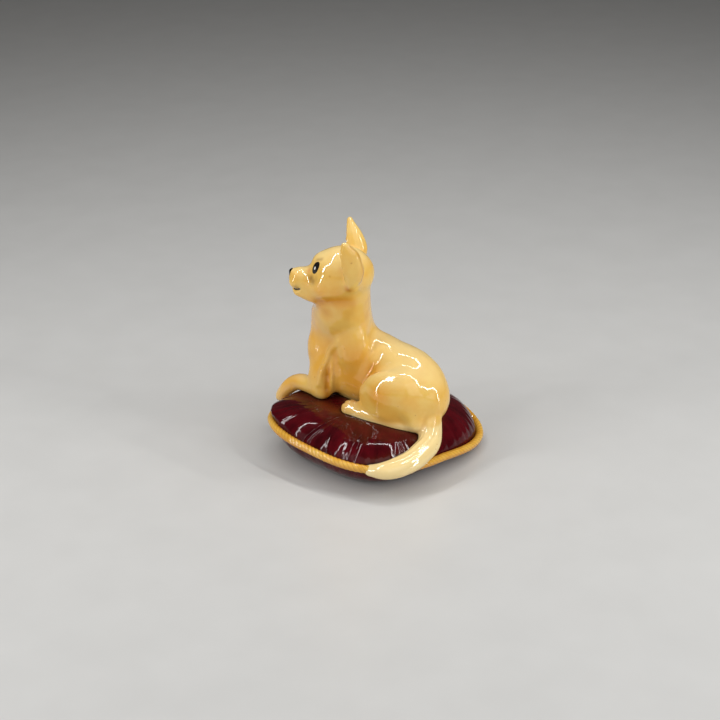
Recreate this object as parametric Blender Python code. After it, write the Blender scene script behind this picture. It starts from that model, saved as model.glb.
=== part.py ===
"""A glazed porcelain chihuahua that lies on a gathered cushion edged with a cord, cast as one piece.

The ground is z = 0. The dog looks along -Y with its body and has its head turned to its own left, which is +X.
"""

import math

import bmesh
import bpy
import numpy as np
from mathutils import Matrix, Vector

# The figure as a whole and the cushion, in metres.
FIGURE_HEIGHT = 0.070
CUSHION_LENGTH = 0.0512
CUSHION_WIDTH = 0.0548
CUSHION_CROWN = 0.0150
CUSHION_SQUARENESS = 3.1
FOOT_SHARE = 0.66
SEAM_HEIGHT = 0.0080
SEAM_RISE_TO_FRONT = 0.0032
SEAM_RISE_TO_LEFT = 0.0011
SEAM_TWIST = 0.0019
DOG_SHIFT_FORWARD = 0.0013
CORD_DIAMETER = 0.0024

# How finely the fused body is drawn.
FUSE_STEP = 0.00050
FACES_KEPT = 9400

# The dog keeps its proportions as shares of its height above the cushion: PART is one fifty-fifth of it.
DOG_HEIGHT = FIGURE_HEIGHT - CUSHION_CROWN
PART = DOG_HEIGHT / 55
BED = CUSHION_CROWN

HEAD_TURN = math.radians(36)
HEAD_ROLL = math.radians(0)
HEAD_PLACE = (8.0, -3.0, 41.0)

# Each limb: places along it as (left, back, up, half width, half thickness), up from the cushion's crown.
TORSO = (
    (0.8, -17.0, 7.6, 6.4, 8.6),
    (0.3, -12.5, 9.4, 8.8, 11.2),
    (-0.8, -4.0, 8.5, 9.2, 11.6),
    (-1.4, 5.0, 7.8, 9.0, 11.2),
    (-1.8, 12.5, 7.2, 9.8, 11.0),
    (-1.6, 18.0, 5.5, 8.0, 8.8),
)
NECK = (
    (0.3, -10.5, 7.0, 6.5, 8.0),
    (0.6, -10.2, 14.0, 8.8, 10.4),
    (2.6, -9.3, 21.5, 8.5, 9.2),
    (5.0, -7.2, 28.5, 8.0, 8.3),
    (7.4, -5.0, 36.0, 7.5, 8.0),
)
UPPER_ARM = (
    (6.5, -10.6, 14.5, 3.6, 5.6),
    (8.2, -12.0, 7.5, 3.4, 5.3),
    (9.2, -12.8, 1.8, 3.0, 4.6),
)
FOREARM = (
    (9.2, -13.5, 1.8, 2.9, 2.9),
    (9.4, -18.6, 2.1, 2.8, 2.6),
    (9.8, -22.4, 0.7, 2.8, 2.5),
    (10.6, -25.6, -2.6, 3.2, 2.3),
    (11.2, -27.3, -5.4, 3.0, 2.1),
)
THIGH = (
    (5.0, 17.0, 7.5, 5.2, 8.2),
    (7.6, 11.0, 6.8, 4.0, 7.4),
    (8.8, 7.0, 5.0, 2.6, 5.4),
)
HIND_FOOT = (
    (2.5, 21.5, -0.8, 3.2, 3.0),
    (6.2, 17.0, -0.4, 3.0, 2.8),
    (8.8, 11.0, 0.0, 2.7, 2.5),
    (10.4, 5.0, 0.3, 2.5, 2.3),
    (10.8, 0.6, 0.5, 2.8, 2.3),
)
TAIL = (
    (-1.8, 20.0, 4.5, 3.8, 3.8),
    (-0.3, 22.8, 1.0, 3.6, 3.5),
    (1.8, 24.8, -2.2, 3.4, 3.2),
    (5.2, 26.6, -4.0, 3.3, 2.9),
    (9.6, 27.2, -5.0, 3.3, 2.8),
    (14.0, 27.2, -5.8, 3.3, 2.7),
    (19.0, 26.0, -6.4, 3.2, 2.6),
    (22.4, 23.6, -6.9, 2.8, 2.3),
    (24.0, 20.6, -7.3, 1.9, 1.7),
)

# The head in its own frame: forward, left, up from the middle of the skull.
SKULL = (1.2, 0.0, 0.5, 8.9, 8.0, 8.1)
CHEEK = (3.6, 2.8, -2.4, 6.4, 4.6, 4.9)
BROW = (5.9, 2.4, 2.7, 3.6, 3.8, 3.6)
MUZZLE = (
    (6.0, 0.0, -1.9, 5.4, 4.6),
    (10.6, 0.0, -1.6, 4.1, 3.5),
    (13.2, 0.0, -1.8, 3.3, 3.3),
)
JAW = (
    (3.0, 0.0, -5.0, 5.0, 3.6),
    (9.4, 0.0, -5.5, 3.6, 2.7),
    (13.4, 0.0, -5.4, 2.4, 1.9),
)
NOSE = (14.9, 0.0, 0.4, 1.2, 1.5, 1.1)
# The ear from its root up: share of its length, front edge, back edge, half width.
EAR_ROOT = (6.6, -2.2)
EAR_LENGTH = 16.25
EAR_SPREAD = 3.6
EAR = (
    (0.00, -1.0, -2.8, 1.0),
    (0.12, -0.2, -4.6, 2.0),
    (0.28, 0.5, -5.8, 2.6),
    (0.45, 0.8, -5.8, 2.6),
    (0.62, 0.9, -4.9, 2.3),
    (0.78, 0.9, -3.6, 1.8),
    (0.90, 0.9, -2.1, 1.2),
    (1.00, 0.8, -0.4, 0.6),
)
EAR_WALL = 1.5
# Folds pressed into the body: width, depth and the places that each runs through.
FOLDS = (
    (1.5, 0.7, (7.5, 5.6, 13.9), (9.5, 4.7, 9.2), (10.5, 4.0, 5.5), (10.4, 3.6, 2.6)),
    (1.4, 0.7, (7.5, -5.8, 16.4), (8.4, -6.5, 12.0), (9.0, -6.5, 7.6), (9.6, -6.4, 3.6)),
)


def clear_scene():
    for obj in list(bpy.data.objects):
        bpy.data.objects.remove(obj)


def smooth_row(row, steps):
    """The row of places with steps more between each two, on a curve through them."""
    p = np.array(row, float)
    p = np.vstack([2 * p[0] - p[1], p, 2 * p[-1] - p[-2]])
    out = []
    for i in range(1, len(p) - 2):
        for k in range(steps):
            t = k / steps
            a, b, c, d = p[i - 1], p[i], p[i + 1], p[i + 2]
            out.append(
                0.5 * (2 * b + (c - a) * t + (2 * a - 5 * b + 4 * c - d) * t**2
                       + (3 * b - a - 3 * c + d) * t**3)
            )
    out.append(p[-2])
    return np.array(out)


def skin(rings, closed=False):
    """Vertices and faces of a tube through rings of equal size, with flat ends unless it closes on itself."""
    n = len(rings[0])
    verts = [tuple(v) for ring in rings for v in ring]
    faces = []
    spans = len(rings) if closed else len(rings) - 1
    for i in range(spans):
        a, b = i * n, ((i + 1) % len(rings)) * n
        for k in range(n):
            j = (k + 1) % n
            faces.append((a + k, a + j, b + j, b + k))
    if not closed:
        faces.append(tuple(range(n))[::-1])
        faces.append(tuple((len(rings) - 1) * n + k for k in range(n)))
    return verts, faces


def limb(row, steps=5, sides=28, blunt=1.0):
    """A rounded limb through places with their half sizes. Its ends are domes of the end section."""
    row = smooth_row(row, steps)
    centres, sizes = row[:, :3], np.maximum(row[:, 3:], 0.05)
    tangents = np.gradient(centres, axis=0)
    rings = []
    run = np.abs(centres[-1] - centres[0])
    upright = run[2] > 0.8 * np.linalg.norm(run)

    def ring(centre, tangent, a, b):
        t = tangent / np.linalg.norm(tangent)
        side = np.cross(t, (0, 1, 0) if upright else (0, 0, 1))
        side /= np.linalg.norm(side)
        over = np.cross(side, t)
        angles = np.linspace(0, 2 * math.pi, sides, endpoint=False)
        return [centre + side * a * math.cos(w) + over * b * math.sin(w) for w in angles]

    def dome(i, sign):
        t = tangents[i] / np.linalg.norm(tangents[i])
        a, b = sizes[i]
        reach = blunt * min(a, b)
        out = []
        for w in np.linspace(0.12, math.pi / 2, 6):
            out.append(ring(centres[i] + sign * t * reach * math.cos(w), t, a * math.sin(w), b * math.sin(w)))
        return out

    rings += dome(0, -1)[:-1]
    rings += [ring(c, t, a, b) for c, t, (a, b) in zip(centres, tangents, sizes)]
    rings += dome(len(row) - 1, 1)[::-1][1:]
    return skin(rings)


def ball(spec):
    forward, left, up, a, b, c = spec
    rings = []
    for w in np.linspace(0.06, math.pi - 0.06, 22):
        rings.append([
            (forward + a * math.sin(w) * math.cos(s), left + b * math.sin(w) * math.sin(s), up - c * math.cos(w))
            for s in np.linspace(0, 2 * math.pi, 32, endpoint=False)
        ])
    return skin(rings)


def mirrored(shape):
    verts, faces = shape
    return [(-x, y, z) for x, y, z in verts], [f[::-1] for f in faces]


def mirrored_left(shape):
    verts, faces = shape
    return [(x, -y, z) for x, y, z in verts], [f[::-1] for f in faces]


def ear():
    """A scoop that opens forward, thin at its edges and filled at its root."""
    spine = smooth_row(EAR, 4)
    rings = []
    for share, front, back, half in spine:
        depth = front - back
        opening = min(1.0, max(0.0, share - 0.3) / 0.2, max(0.0, 0.97 - share) / 0.15)
        hollow = opening * max(0.0, depth - EAR_WALL)
        lip = half - opening * min(EAR_WALL * 0.75, half * 0.5)
        outer, inner = [], []
        for w in np.linspace(-math.pi / 2, math.pi / 2, 15):
            outer.append((front - depth * math.cos(w), half * math.sin(w)))
            inner.append((front - hollow * math.cos(w), lip * math.sin(w)))
        outline = outer + inner[-2:0:-1]
        out = EAR_ROOT[0] + EAR_SPREAD * share
        rings.append([(f, out + s, EAR_ROOT[1] + EAR_LENGTH * share) for f, s in outline])
    return skin(rings)


def head_to_world(shape):
    """From the head's frame to the figure's, in parts up from the cushion's crown."""
    forward = Vector((math.sin(HEAD_TURN), -math.cos(HEAD_TURN), 0))
    left = Vector((math.cos(HEAD_TURN), math.sin(HEAD_TURN), 0))
    roll = Matrix.Rotation(HEAD_ROLL, 3, forward)
    left, up = roll @ left, roll @ Vector((0, 0, 1))
    verts, faces = shape
    place = Vector(HEAD_PLACE)
    return [tuple(place + forward * f + left * s + up * u) for f, s, u in verts], faces


def dog_to_world(shape):
    verts, faces = shape
    return [(x * PART, y * PART - DOG_SHIFT_FORWARD, BED + z * PART) for x, y, z in verts], faces


def seam_place(angle):
    """A point of the cushion's seam, where the cord lies."""
    c, s = math.cos(angle), math.sin(angle)
    n = CUSHION_SQUARENESS
    r = (abs(c) ** n + abs(s) ** n) ** (-1 / n)
    x, y = r * c, r * s
    z = SEAM_HEIGHT - SEAM_RISE_TO_FRONT * y + SEAM_RISE_TO_LEFT * x + SEAM_TWIST * x * y
    return np.array((x * CUSHION_WIDTH / 2, y * CUSHION_LENGTH / 2, z))


def cushion():
    """A pillow: its crown and its belly both run out to the seam, and the belly is cut flat by the ground."""
    rings = []
    angles = np.linspace(0, 2 * math.pi, 112, endpoint=False)
    edge = np.array([seam_place(w) for w in angles])
    for share in np.concatenate([np.linspace(0.02, 0.9, 12), (0.95, 0.98, 0.997)]):
        lift = (1 - share**4) ** 0.58
        rings.append([(x * share, y * share, z + (CUSHION_CROWN - z) * lift) for x, y, z in edge])
    for share in np.concatenate([(1.0, 0.985), np.linspace(0.95, FOOT_SHARE, 8)]):
        rise = 1 - math.sqrt(1 - ((share - FOOT_SHARE) / (1 - FOOT_SHARE)) ** 2)
        rings.append([(x * share, y * share, z * rise) for x, y, z in edge])
    rings.append([(x * 0.02, y * 0.02, 0.0) for x, y, z in edge])
    return skin(rings[::-1])


def cord():
    rings = []
    angles = np.linspace(0, 2 * math.pi, 120, endpoint=False)
    places = np.array([seam_place(w) for w in angles])
    tangents = np.roll(places, -1, 0) - np.roll(places, 1, 0)
    radius = CORD_DIAMETER / 2
    for p, t in zip(places, tangents):
        t = t / np.linalg.norm(t)
        side = np.cross(t, (0, 0, 1))
        side /= np.linalg.norm(side)
        over = np.cross(side, t)
        centre = p + side * radius * 0.9 + over * radius * 0.3
        rings.append([
            centre + radius * (side * math.cos(w) + over * math.sin(w))
            for w in np.linspace(0, 2 * math.pi, 14, endpoint=False)
        ])
    return skin(rings, closed=True)


def as_object(name, shapes):
    mesh = bpy.data.meshes.new(name)
    verts, faces = [], []
    for v, f in shapes:
        base = len(verts)
        verts += [tuple(map(float, p)) for p in v]
        faces += [tuple(i + base for i in face) for face in f]
    mesh.from_pydata(verts, [], faces)
    bm = bmesh.new()
    bm.from_mesh(mesh)
    bmesh.ops.recalc_face_normals(bm, faces=bm.faces)
    bm.to_mesh(mesh)
    bm.free()
    obj = bpy.data.objects.new(name, mesh)
    bpy.context.scene.collection.objects.link(obj)
    return obj


def add(obj, shapes):
    """More shapes joined to the object's mesh, still to be fused."""
    other = as_object("more", shapes)
    bm = bmesh.new()
    bm.from_mesh(obj.data)
    bm.from_mesh(other.data)
    bm.to_mesh(obj.data)
    bm.free()
    bpy.data.objects.remove(other)


def applied(obj):
    """The object with its modifiers made real."""
    graph = bpy.context.evaluated_depsgraph_get()
    graph.update()
    mesh = bpy.data.meshes.new_from_object(obj.evaluated_get(graph))
    obj.modifiers.clear()
    obj.data = mesh
    return obj


def fuse(obj, step):
    remesh = obj.modifiers.new("fuse", "REMESH")
    remesh.mode = "VOXEL"
    remesh.voxel_size = step
    remesh.adaptivity = 0.0
    return applied(obj)


def arrays(obj):
    mesh = obj.data
    points = np.empty(len(mesh.vertices) * 3)
    mesh.vertices.foreach_get("co", points)
    edges = np.empty(len(mesh.edges) * 2, np.int64)
    mesh.edges.foreach_get("vertices", edges)
    return points.reshape(-1, 3), edges.reshape(-1, 2)


def put(obj, points):
    obj.data.vertices.foreach_set("co", np.ascontiguousarray(points).ravel())
    obj.data.update()


def normals_of(obj):
    normals = np.empty(len(obj.data.vertices) * 3)
    obj.data.vertices.foreach_get("normal", normals)
    return normals.reshape(-1, 3)


def settle(obj, fills, rounds, weight=None):
    """Fills the valleys between the fused shapes as glaze does, then evens the whole skin a little."""
    points, edges = arrays(obj)
    a, b = edges.T
    count = np.bincount(a, minlength=len(points)) + np.bincount(b, minlength=len(points))
    keep = np.ones(len(points)) if weight is None else weight(points)
    for i in range(fills + rounds):
        mean = np.stack([
            np.bincount(a, points[b, k], len(points)) + np.bincount(b, points[a, k], len(points))
            for k in range(3)
        ], 1) / count[:, None]
        shift = mean - points
        if i < fills:
            normals = normals_of(obj)
            rise = (shift * normals).sum(1)
            points += normals * (np.clip(rise, 0, None) * 0.9 * keep)[:, None]
            points += (shift - normals * rise[:, None]) * 0.3
        else:
            points += shift * 0.5 * keep[:, None]
        put(obj, points)
    return obj


def fold(obj, width, depth, *places):
    """Presses a soft fold into the skin along a curve through the places."""
    points, _ = arrays(obj)
    row = smooth_row(places, 8) * PART + (0, -DOG_SHIFT_FORWARD, BED)
    near = np.full(len(points), np.inf)
    for p in row:
        near = np.minimum(near, ((points - p) ** 2).sum(1))
    press = depth * PART * np.exp(-near / (width * PART) ** 2)
    put(obj, points - normals_of(obj) * press[:, None])


def cut_flat(obj):
    """The underside made flat on the ground."""
    bm = bmesh.new()
    bm.from_mesh(obj.data)
    geometry = bm.verts[:] + bm.edges[:] + bm.faces[:]
    cut = bmesh.ops.bisect_plane(
        bm, geom=geometry, plane_co=(0, 0, 0), plane_no=(0, 0, 1), clear_inner=True, dist=1e-6
    )
    rim = [e for e in cut["geom_cut"] if isinstance(e, bmesh.types.BMEdge)]
    bmesh.ops.edgenet_fill(bm, edges=rim)
    bmesh.ops.recalc_face_normals(bm, faces=bm.faces)
    bm.to_mesh(obj.data)
    bm.free()
    return obj


def centre_on_ground(obj):
    """The figure shifted level so that the middle of its outline stands over the origin."""
    points, _ = arrays(obj)
    middle = (points.min(0) + points.max(0)) / 2
    middle[2] = 0
    put(obj, points - middle)
    return obj


def glaze():
    material = bpy.data.materials.new("cream glaze")
    material.use_nodes = True
    shader = material.node_tree.nodes["Principled BSDF"]
    shader.inputs["Base Color"].default_value = (0.72, 0.46, 0.17, 1)
    shader.inputs["Roughness"].default_value = 0.12
    return material


def build():
    clear_scene()
    arm = [limb(UPPER_ARM), limb(FOREARM)]
    leg = [limb(THIGH, blunt=1.3)]
    foot = [limb(HIND_FOOT)]
    skull = [
        ball(SKULL),
        ball(CHEEK),
        mirrored_left(ball(CHEEK)),
        ball(BROW),
        mirrored_left(ball(BROW)),
        limb(MUZZLE),
        limb(JAW),
    ]
    small = [ball(NOSE), ear(), mirrored_left(ear())]
    dog = [limb(TORSO), limb(NECK)] + arm + [mirrored(s) for s in arm] + leg + [mirrored(s) for s in leg]
    dog += [head_to_world(s) for s in skull]
    body = as_object("chihuahua_on_cushion", [dog_to_world(s) for s in dog])
    body = settle(fuse(body, FUSE_STEP), 45, 4)
    for width, depth, *places in FOLDS:
        for side in (1, -1):
            fold(body, width, depth, *[(side * x, y, z) for x, y, z in places])
    add(body, [dog_to_world(head_to_world(s)) for s in small])
    add(body, [dog_to_world(s) for s in foot + [mirrored(s) for s in foot] + [limb(TAIL)]])
    body = settle(fuse(body, FUSE_STEP), 8, 1)
    add(body, [cushion(), cord()])
    body = settle(fuse(body, FUSE_STEP), 2, 1)
    decimate = body.modifiers.new("fewer faces", "DECIMATE")
    decimate.ratio = min(1.0, FACES_KEPT / (2 * len(body.data.vertices)))
    body = applied(body)
    body = centre_on_ground(cut_flat(body))
    top = max(v.co.z for v in body.data.vertices)
    print("height", round(top * 1000, 2), "faces", len(body.data.polygons))
    for polygon in body.data.polygons:
        polygon.use_smooth = True
    body.data.materials.clear()
    body.data.materials.append(glaze())


build()
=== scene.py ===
"""A glazed porcelain chihuahua that lies on a gathered cushion edged with a twisted cord, cast as one piece.

The forms are those of the solid, drawn finer: face, toes, folds, gathers and the cord's strands, with the colours
that are sprayed and brushed on under the glaze, painted shade in the folds and hollows, and painted light on the
tops.
"""

import math

import bmesh
import bpy
import numpy as np
from mathutils import Matrix, Vector
from mathutils.bvhtree import BVHTree


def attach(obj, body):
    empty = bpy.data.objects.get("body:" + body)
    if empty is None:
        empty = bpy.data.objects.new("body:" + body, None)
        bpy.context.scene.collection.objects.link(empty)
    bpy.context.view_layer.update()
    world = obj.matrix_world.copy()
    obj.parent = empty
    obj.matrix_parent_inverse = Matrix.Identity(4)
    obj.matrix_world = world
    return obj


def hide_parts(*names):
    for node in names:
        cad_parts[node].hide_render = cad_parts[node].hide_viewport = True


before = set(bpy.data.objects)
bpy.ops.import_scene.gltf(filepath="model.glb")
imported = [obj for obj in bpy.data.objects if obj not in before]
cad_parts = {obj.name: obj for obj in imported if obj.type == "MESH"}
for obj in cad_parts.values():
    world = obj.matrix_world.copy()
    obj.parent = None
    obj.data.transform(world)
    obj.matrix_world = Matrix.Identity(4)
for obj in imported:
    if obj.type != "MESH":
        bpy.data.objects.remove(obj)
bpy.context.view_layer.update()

NODE = "chihuahua_on_cushion"

# The figure and the cushion, in metres.
FIGURE_HEIGHT = 0.070
CUSHION_LENGTH = 0.0512
CUSHION_WIDTH = 0.0548
CUSHION_CROWN = 0.0150
CUSHION_SQUARENESS = 3.1
FOOT_SHARE = 0.66
SEAM_HEIGHT = 0.0080
SEAM_RISE_TO_FRONT = 0.0032
SEAM_RISE_TO_LEFT = 0.0011
SEAM_TWIST = 0.0019
SEAM_DIP_AT_FRONT = 0.0022
SEAM_SAG_AT_LEFT = 0.0004
SEAM_SAG_AT_RIGHT_BACK = 0.0014
OVERHANG_AT_CORNER = 0.085
CUSHION_SHIFT_BACK = 0.00068
DOG_SHIFT_FORWARD = 0.0013 - CUSHION_SHIFT_BACK
CORD_DIAMETER = 0.0024

# Where the fused skin is evened out: the middle of the place, its half sizes, then for how many rounds. The head's
# places count forward, left and up and lie on both sides; the body's counts left, back and up, on both flanks.
TEMPLE = (3.2, 6.2, 0.8, 6.8, 5.0, 7.6, 70)
MUZZLE_ROOT = (10.3, 3.4, -0.5, 3.0, 2.4, 3.4, 30)
THIGH_BACK = (5.0, 20.6, 11.0, 6.0, 5.5, 7.0, 90)

# How finely the forms are drawn.
ROUGH_STEP = 0.00050
FINE_STEP = 0.00033
LIMB_STEPS = 5
LIMB_SIDES = 28
STEEP = 0.8
DOME_RINGS = 6
DOME_TIP = 0.12
BALL_RINGS = 22
BALL_SIDES = 32
BALL_TIP = 0.06
EAR_STEPS = 5
EAR_SIDES = 31
PATH_STEPS = 6

# How often the skin of the fused shapes is filled and evened, and how far each round goes.
ROUGH_FILLS = 45
FINE_FILLS = 12
EVENINGS = 4
FILL = 0.9
GLIDE = 0.3
EVEN = 0.5

DOG_HEIGHT = FIGURE_HEIGHT - CUSHION_CROWN
PART = DOG_HEIGHT / 55
BED = CUSHION_CROWN

HEAD_TURN = math.radians(36)
HEAD_PLACE = np.array((8.0, -3.0, 41.0))
HEAD_FORWARD = np.array((math.sin(HEAD_TURN), -math.cos(HEAD_TURN), 0))
HEAD_LEFT = np.array((math.cos(HEAD_TURN), math.sin(HEAD_TURN), 0))
UP = np.array((0, 0, 1.0))

# Each limb: places along it as (left, back, up, half width, half thickness), up from the cushion's crown.
# Each ball: its middle and its three half sizes.
TORSO = (
    (0.8, -14.8, 8.6, 6.8, 9.0), (0.3, -11.5, 9.4, 8.8, 11.2), (-0.8, -4.0, 8.9, 9.2, 12.2),
    (-2.0, 5.0, 8.0, 8.4, 11.6), (-2.1, 12.5, 7.2, 9.5, 11.0), (-1.6, 18.0, 5.5, 8.0, 8.8),
)
NECK = (
    (0.3, -10.5, 7.0, 6.5, 8.0), (0.6, -10.2, 14.0, 8.8, 10.4), (1.8, -10.4, 21.5, 8.2, 10.2),
    (5.0, -7.3, 28.5, 8.1, 8.7), (7.4, -5.0, 36.0, 7.6, 8.3),
)
BREAST = (0.6, -14.4, 13.0, 9.9, 6.9, 12.0)
SHOULDER = (6.4, -8.0, 9.0, 3.5, 4.2, 7.0)
NECK_FOLD = (5.8, -3.8, 18.0, 4.3, 6.6, 9.5)
UPPER_ARM = (
    (6.0, -11.0, 14.5, 3.6, 5.6), (8.5, -11.8, 7.5, 3.5, 5.3), (9.9, -12.2, 2.4, 3.0, 4.4),
)
FOREARM = (
    (9.8, -13.2, 2.2, 2.7, 2.6), (9.6, -18.6, 2.1, 2.7, 2.6), (9.5, -22.6, 0.9, 2.5, 2.5),
    (10.0, -26.1, -2.3, 2.6, 2.2), (10.5, -27.9, -4.8, 2.4, 1.8),
)
THIGH = (
    (5.0, 17.0, 7.5, 5.2, 8.2), (7.6, 11.0, 6.8, 4.0, 7.4), (8.8, 7.0, 5.0, 2.6, 5.4),
)
SHANK = (
    (5.4, 17.0, 2.6, 3.6, 3.4), (7.6, 13.0, 2.4, 3.6, 3.4), (8.9, 7.5, 2.0, 2.7, 3.0),
    (9.7, 3.4, 1.4, 2.0, 2.0),
)
HIND_FOOT = (
    (2.5, 20.2, -0.8, 2.9, 3.0), (6.2, 17.0, -0.4, 3.0, 2.8), (8.8, 11.0, 0.0, 2.7, 2.5),
    (10.3, 5.0, 0.3, 2.5, 2.3), (10.6, 0.6, 0.6, 2.9, 2.4),
)
RUMP = (4.2, 20.3, 0.6, 3.6, 3.3, 3.6)
TAIL = (
    (-1.0, 19.4, 4.8, 3.7, 3.7), (0.4, 22.1, 1.2, 3.5, 3.5), (2.3, 24.3, -2.1, 3.4, 3.3),
    (5.4, 26.3, -4.1, 3.4, 3.1), (9.6, 27.0, -5.2, 3.4, 3.1), (14.0, 27.0, -6.1, 3.4, 3.0),
    (19.0, 25.9, -6.6, 3.3, 2.8), (22.4, 23.6, -7.0, 2.8, 2.4), (24.0, 20.6, -7.3, 1.9, 1.7),
)

# The head in its own frame: forward, left, up from the middle of the skull.
SKULL = (1.0, 0.0, 0.35, 9.1, 8.0, 7.85)
CHEEK = (3.6, 2.8, -2.4, 6.4, 4.6, 4.9)
BROW = (5.8, 2.4, 2.5, 3.5, 3.7, 3.5)
FOREHEAD = (5.7, 0.0, 2.5, 4.3, 4.5, 4.2)
MUZZLE = (
    (6.0, 0.0, -1.9, 5.4, 4.5), (10.6, 0.0, -1.75, 4.1, 3.4), (13.2, 0.0, -1.8, 3.4, 3.4),
)
JAW = (
    (3.0, 0.0, -5.2, 5.0, 4.2), (9.2, 0.0, -5.9, 3.5, 3.3), (13.7, 0.0, -5.5, 2.3, 1.9),
)
NOSE = (15.5, 0.0, 0.1, 1.0, 1.4, 1.0)
LIP = (13.7, 1.3, -2.5, 2.6, 2.0, 2.0)

# The ear from its root up: share of its length, front edge, back edge, half width.
EAR_SEAT = (-2.4, 6.8, 0.6, 2.9, 2.1, 3.6)
EAR_ROOT = (6.9, -2.2)
EAR_LENGTH = 15.75
EAR_SPREAD = 3.3
EAR_SET_BACK = 0.45
EAR = (
    (0.00, -1.1, -1.8, 0.9), (0.04, -0.9, -2.4, 1.5), (0.11, -0.6, -3.6, 2.1), (0.19, -0.2, -4.6, 2.4),
    (0.30, 0.2, -5.3, 2.6), (0.44, 0.5, -5.6, 2.6), (0.58, 0.6, -5.0, 2.4), (0.75, 0.7, -3.6, 2.0),
    (0.86, 0.7, -2.4, 1.5), (0.93, 0.55, -1.55, 1.15), (0.975, 0.35, -1.1, 0.85), (1.00, 0.0, -0.7, 0.4),
)
EAR_WALL = 1.3
EAR_CURL = 2.1
EAR_MIDDLE = 0.62
THINNEST = 0.1
# The shares of its length over which the ear's scoop opens above its root and closes below its tip.
EAR_OPENS = (0.24, 0.20)
EAR_CLOSES = (0.93, 0.15)
# The left ear is fuller at its front and back edges, round a share of its length.
LEFT_EAR_FULLER = (0.35, 1.0)
FULLER_AT = 0.80
FULLER_SPREAD = 0.17


def smooth_row(row, steps):
    """The row of places with steps more between each two, on a curve through them."""
    p = np.array(row, float)
    p = np.vstack([2 * p[0] - p[1], p, 2 * p[-1] - p[-2]])
    out = []
    for i in range(1, len(p) - 2):
        for k in range(steps):
            t = k / steps
            a, b, c, d = p[i - 1], p[i], p[i + 1], p[i + 2]
            bend, twist = 2 * a - 5 * b + 4 * c - d, 3 * b - a - 3 * c + d
            out.append(0.5 * (2 * b + (c - a) * t + bend * t**2 + twist * t**3))
    out.append(p[-2])
    return np.array(out)


def skin(rings, closed=False):
    """Vertices and faces of a tube through rings of equal size, with flat ends unless it closes on itself."""
    n = len(rings[0])
    verts = [tuple(v) for ring in rings for v in ring]
    faces = []
    spans = len(rings) if closed else len(rings) - 1
    for i in range(spans):
        a, b = i * n, ((i + 1) % len(rings)) * n
        for k in range(n):
            j = (k + 1) % n
            faces.append((a + k, a + j, b + j, b + k))
    if not closed:
        faces.append(tuple(range(n))[::-1])
        faces.append(tuple((len(rings) - 1) * n + k for k in range(n)))
    return verts, faces


def round_angles(count):
    return np.linspace(0, 2 * math.pi, count, endpoint=False)


def across(tangent, pole=(0, 0, 1)):
    """The two directions across a tangent: square to the pole, and over it."""
    t = tangent / np.linalg.norm(tangent)
    side = np.cross(t, pole)
    side /= np.linalg.norm(side)
    return side, np.cross(side, t)


def limb(row, blunt=1.0):
    """A rounded limb through places with their half sizes. Its ends are domes of the end section."""
    row = smooth_row(row, LIMB_STEPS)
    centres, sizes = row[:, :3], row[:, 3:]
    tangents = np.gradient(centres, axis=0)
    run = np.abs(centres[-1] - centres[0])
    pole = (0, 1, 0) if run[2] > STEEP * np.linalg.norm(run) else (0, 0, 1)
    angles = round_angles(LIMB_SIDES)

    def ring(centre, tangent, a, b):
        side, over = across(tangent, pole)
        return [centre + side * a * math.cos(w) + over * b * math.sin(w) for w in angles]

    def dome(i, sign):
        t = tangents[i] / np.linalg.norm(tangents[i])
        a, b = sizes[i]
        reach = blunt * min(a, b)
        return [
            ring(centres[i] + sign * t * reach * math.cos(w), t, a * math.sin(w), b * math.sin(w))
            for w in np.linspace(DOME_TIP, math.pi / 2, DOME_RINGS)
        ]

    rings = dome(0, -1)[:-1]
    rings += [ring(c, t, a, b) for c, t, (a, b) in zip(centres, tangents, sizes)]
    rings += dome(len(row) - 1, 1)[::-1][1:]
    return skin(rings)


def ball(spec):
    """A round mass from its middle and its three half sizes."""
    forward, left, up, a, b, c = spec
    rings = []
    for w in np.linspace(BALL_TIP, math.pi - BALL_TIP, BALL_RINGS):
        rings.append([
            (forward + a * math.sin(w) * math.cos(s), left + b * math.sin(w) * math.sin(s), up - c * math.cos(w))
            for s in round_angles(BALL_SIDES)
        ])
    return skin(rings)


# The signs that bring a place to the body's other flank, or to the head's other side.
FLANK = (-1, 1, 1)
SIDE = (1, -1, 1)


def mirrored(shape, signs):
    verts, faces = shape
    return np.multiply(verts, signs), [f[::-1] for f in faces]


def ear_place(row, set_back, angle, curl=EAR_CURL, inset=0.0):
    """A point of the ear's section: 0 is its back edge, a quarter turn its outer side, half a turn its front."""
    share, front, back, half = row
    fuller = math.exp(-(((share - FULLER_AT) / FULLER_SPREAD) ** 2)) if set_back > 0 else 0
    front, back = front + LEFT_EAR_FULLER[0] * fuller, back - LEFT_EAR_FULLER[1] * fuller
    middle = back + EAR_MIDDLE * (front - back)
    reach = middle - back if math.cos(angle) > 0 else (front - middle) / -math.cos(curl)
    f = middle - set_back - max(reach - inset, THINNEST) * math.cos(angle)
    s = max(half - inset, THINNEST) * math.sin(angle)
    return f, EAR_ROOT[0] + EAR_SPREAD * share + s, EAR_ROOT[1] + EAR_LENGTH * share


def ear(set_back):
    """A scoop that opens forward between curled rims, filled at its root and its tip."""
    rings = []
    for row in smooth_row(EAR, EAR_STEPS):
        opened = max(0.0, row[0] - EAR_OPENS[0]) / EAR_OPENS[1]
        opening = min(1.0, opened, max(0.0, EAR_CLOSES[0] - row[0]) / EAR_CLOSES[1])
        reach = EAR_CURL + (math.pi - EAR_CURL) * (1 - opening)
        angles = np.linspace(-reach, reach, EAR_SIDES)
        wall = min(EAR_WALL, row[3] / 2)
        depth = (row[3] - wall) * opening
        outer = [ear_place(row, set_back, w, reach) for w in angles]
        inner = [ear_place(row, set_back, w, reach, row[3] - depth) for w in angles]
        rings.append(outer + inner[-2:0:-1])
    return skin(rings)


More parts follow.
